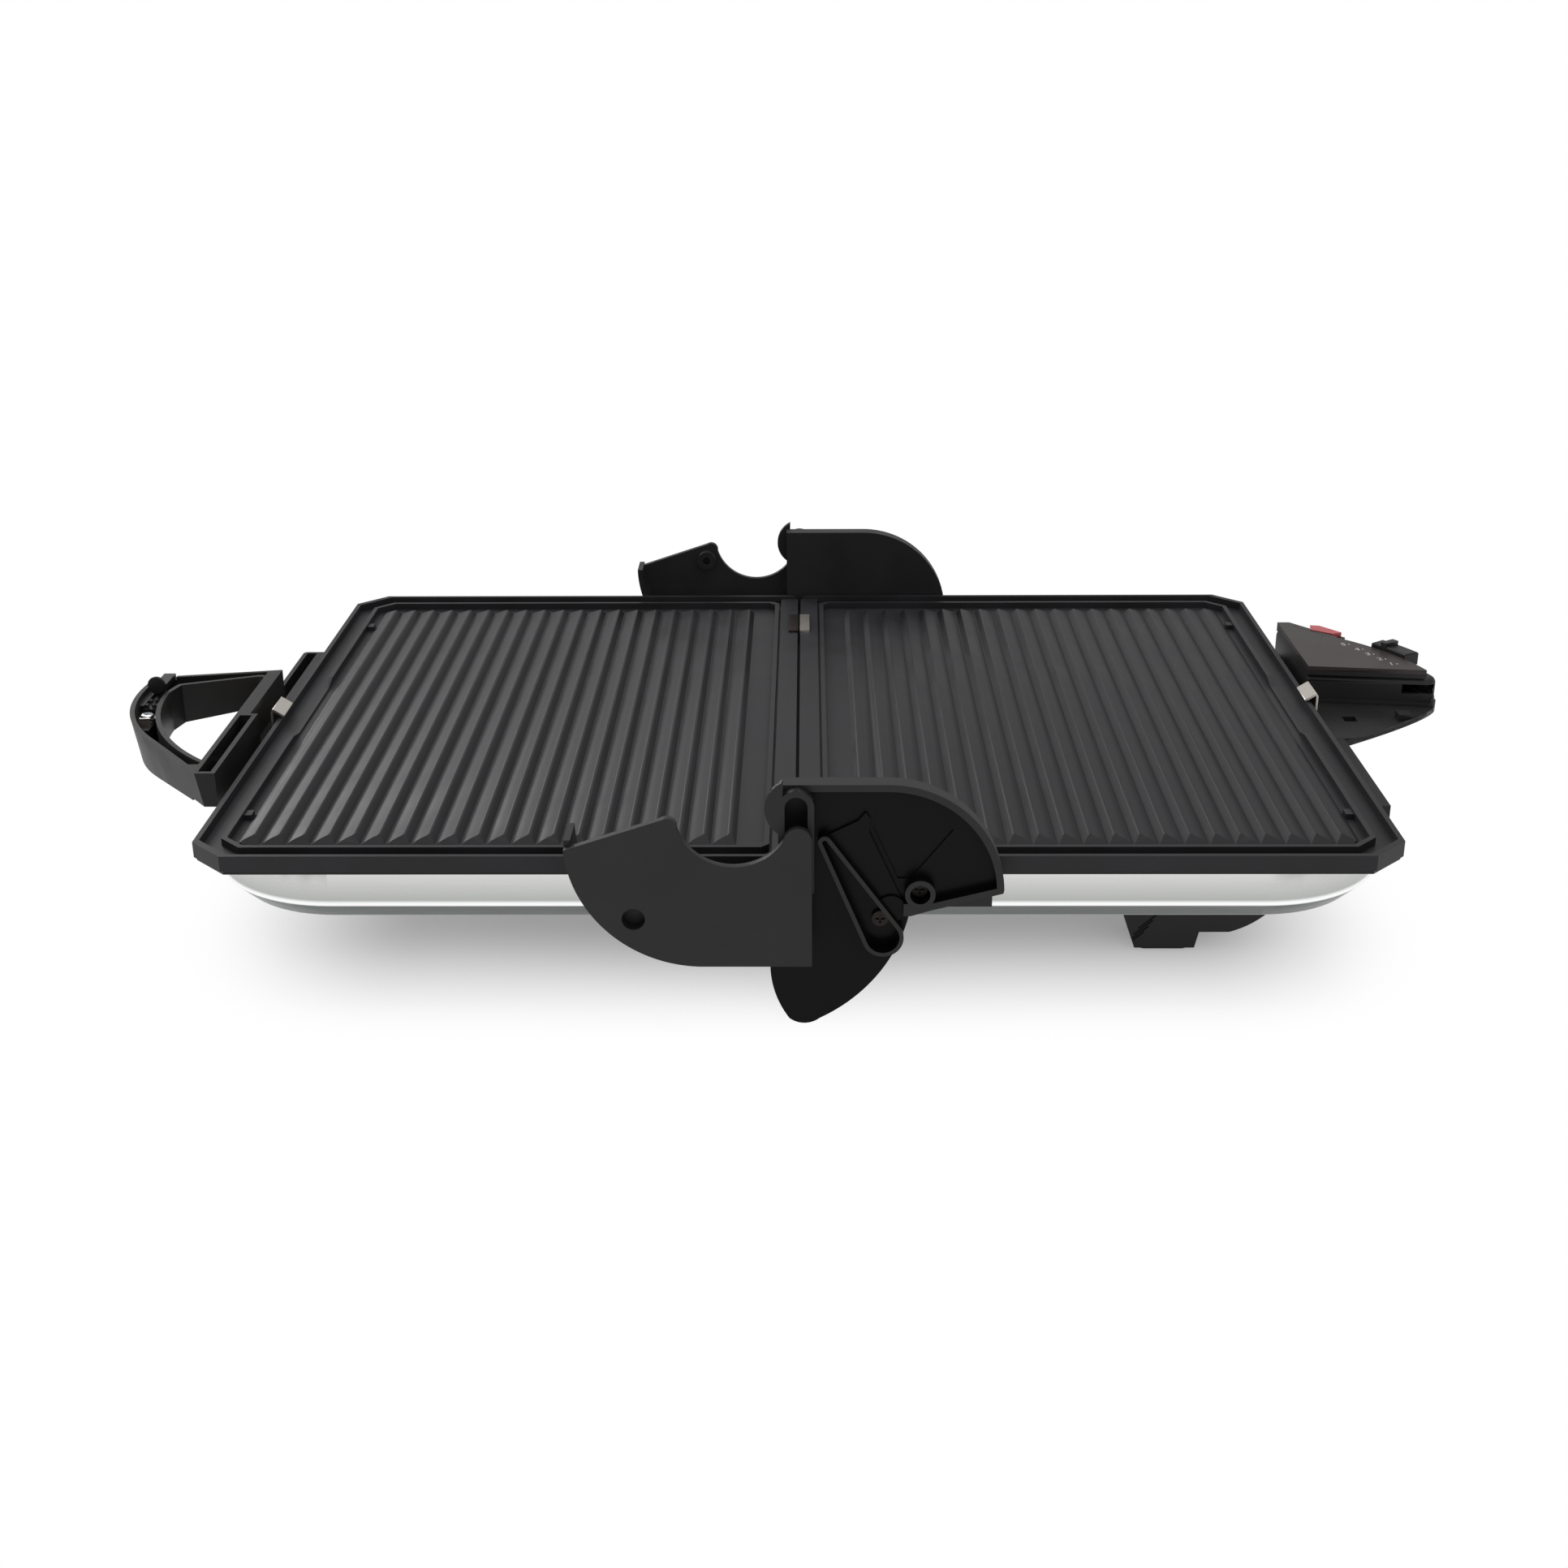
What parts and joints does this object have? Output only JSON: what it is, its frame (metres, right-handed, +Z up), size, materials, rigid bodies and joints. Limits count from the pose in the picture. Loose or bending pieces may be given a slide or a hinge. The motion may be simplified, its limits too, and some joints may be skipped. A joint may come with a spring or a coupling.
{
  "type": "contact grill",
  "caption": "Electric contact grill opened flat: two ridged plates in steel pans, hinged side arms, looped handle with latch, control block.",
  "frame": {"origin": "on the table, midway along the hinge line and under it", "axes": "+X from the hinge line to the base half and its control block, +Y along the hinge line away from the viewer, +Z up"},
  "size_m": [0.5698, 0.36, 0.0982],
  "materials": {
    "grill_coating": "matt non-stick coating on cast aluminium",
    "pan_steel": "brushed",
    "frame_steel": "dark enamel",
    "heater_tube": "dull",
    "reflector_sheet": "bright",
    "terminal_ceramic": "matt",
    "clip_steel": "satin",
    "black_plastic": "fine grain",
    "grip_plastic": "fine grain",
    "cover_plastic": "satin",
    "knob_plastic": "satin",
    "lens_plastic": "clear red",
    "lamp_glass": "clear",
    "thermostat_body": "matt",
    "screw_steel": "zinc plated",
    "pad_rubber": "matt"
  },
  "bodies": {
    "base": {"base_grill_plate": "grill_coating", "base_frame": "frame_steel", "base_pan": "pan_steel", "base_heater": "heater_tube", "base_reflector": "reflector_sheet", "base_terminal_block": "terminal_ceramic", "base_pan_screws": "screw_steel", "base_plate_hooks": "clip_steel", "base_clip_ears": "clip_steel", "thermal_fuse": "terminal_ceramic", "near_bracket": "black_plastic", "far_bracket": "black_plastic", "bracket_screws": "screw_steel", "base_trim": "grip_plastic", "control_housing": "black_plastic", "control_cover": "cover_plastic", "indicator_lens": "lens_plastic", "indicator_lamp": "lamp_glass", "thermostat": "thermostat_body", "cord_gland": "black_plastic", "base_feet": "black_plastic", "foot_pads": "pad_rubber"},
    "hinge_float": {"slide_blocks": "black_plastic"},
    "lid": {"lid_grill_plate": "grill_coating", "lid_frame": "frame_steel", "lid_pan": "pan_steel", "lid_heater": "heater_tube", "lid_reflector": "reflector_sheet", "lid_terminal_block": "terminal_ceramic", "lid_pan_screws": "screw_steel", "lid_plate_hooks": "clip_steel", "lid_clip_ears": "clip_steel", "lid_trim": "grip_plastic", "near_arm": "black_plastic", "far_arm": "black_plastic", "arm_screws": "screw_steel", "hinge_pins": "screw_steel", "handle": "grip_plastic", "handle_screws": "screw_steel", "latch_guide": "clip_steel", "latch_screw": "screw_steel"},
    "base_clip": {"base_plate_clip": "clip_steel"},
    "lid_clip": {"lid_plate_clip": "clip_steel"},
    "temperature_slider": {"temperature_slider": "knob_plastic"},
    "latch": {"latch": "knob_plastic"}
  },
  "joints": [
    {"name": "hinge_rise", "type": "slide", "parent": "base", "child": "hinge_float", "axis": [0, 0, 1], "range_m": [0, 0.02]},
    {"name": "lid_hinge", "type": "hinge", "parent": "hinge_float", "child": "lid", "pos_m": [0, 0, 0.0655], "axis": [0, 1, 0], "range_deg": [0, 180]},
    {"name": "base_clip_hinge", "type": "hinge", "parent": "base", "child": "base_clip", "pos_m": [0.2226, 0.009, 0.049], "axis": [0, 1, 0], "range_deg": [0, 12], "stiffness_Nm_per_rad": 0.4, "springref_deg": -17.19},
    {"name": "lid_clip_hinge", "type": "hinge", "parent": "lid", "child": "lid_clip", "pos_m": [-0.2226, -0.009, 0.049], "axis": [0, -1, 0], "range_deg": [0, 12], "stiffness_Nm_per_rad": 0.4, "springref_deg": -17.19},
    {"name": "temperature_turn", "type": "hinge", "parent": "base", "child": "temperature_slider", "pos_m": [0.181, 0, 0.066], "axis": [0, 0, 1], "range_deg": [-10, 10]},
    {"name": "latch_slide", "type": "slide", "parent": "lid", "child": "latch", "axis": [0, 1, 0], "range_m": [0, 0.007]}
  ]
}
